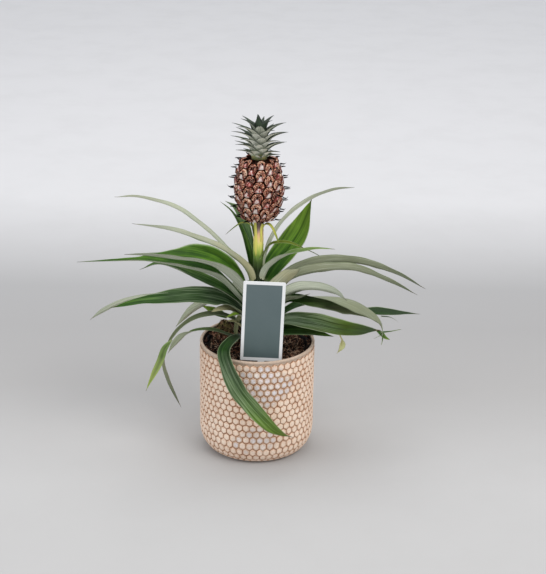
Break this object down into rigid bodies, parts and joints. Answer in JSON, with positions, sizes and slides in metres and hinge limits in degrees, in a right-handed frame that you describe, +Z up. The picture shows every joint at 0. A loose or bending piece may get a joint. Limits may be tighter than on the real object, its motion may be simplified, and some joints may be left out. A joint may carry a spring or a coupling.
{
  "type": "potted pineapple plant",
  "caption": "Young pineapple plant with long arching leaves and a small crowned fruit on a stalk, in a round honeycomb pot with a blank upright plant label.",
  "frame": {"origin": "centre of the pot's flat foot, where it stands on the ground", "axes": "+Z up along the pot's and the fruit stalk's shared axis; +X to the plant's right and +Y to its back, seen from the side where the label stands"},
  "size_m": [0.4168, 0.2362, 0.4184],
  "materials": {
    "pot_clay": "matte",
    "black_plastic": "satin",
    "potting_soil": "matte",
    "stalk": "satin",
    "leaf_green": "satin",
    "leaf_silver": "satin",
    "leaf_withered": "matte",
    "fruit_rind": "satin",
    "crown_leaf": "matte",
    "label_card": "satin"
  },
  "bodies": {
    "root": {"pot": "pot_clay", "nursery_pot": "black_plastic", "soil": "potting_soil", "stem": "stalk", "leaf_01": "leaf_green", "leaf_02": "leaf_green", "leaf_03": "leaf_green", "leaf_04": "leaf_green", "leaf_05": "leaf_green", "leaf_06": "leaf_silver", "leaf_07": "leaf_green", "leaf_08": "leaf_green", "leaf_09": "leaf_green", "leaf_10": "leaf_green", "leaf_11": "leaf_silver", "leaf_12": "leaf_green", "leaf_13": "leaf_silver", "leaf_14": "leaf_green", "leaf_15": "leaf_silver", "leaf_16": "leaf_silver", "leaf_17": "leaf_green", "leaf_18": "leaf_silver", "leaf_19": "leaf_silver", "leaf_20": "leaf_green", "leaf_21": "leaf_silver", "leaf_22": "leaf_green", "leaf_23": "leaf_silver", "leaf_24": "leaf_green", "leaf_25": "leaf_green", "leaf_26": "leaf_withered", "leaf_27": "leaf_green", "leaf_28": "leaf_green", "leaf_29": "leaf_green", "fruit": "fruit_rind", "crown": "crown_leaf", "label": "label_card"}
  },
  "joints": []
}
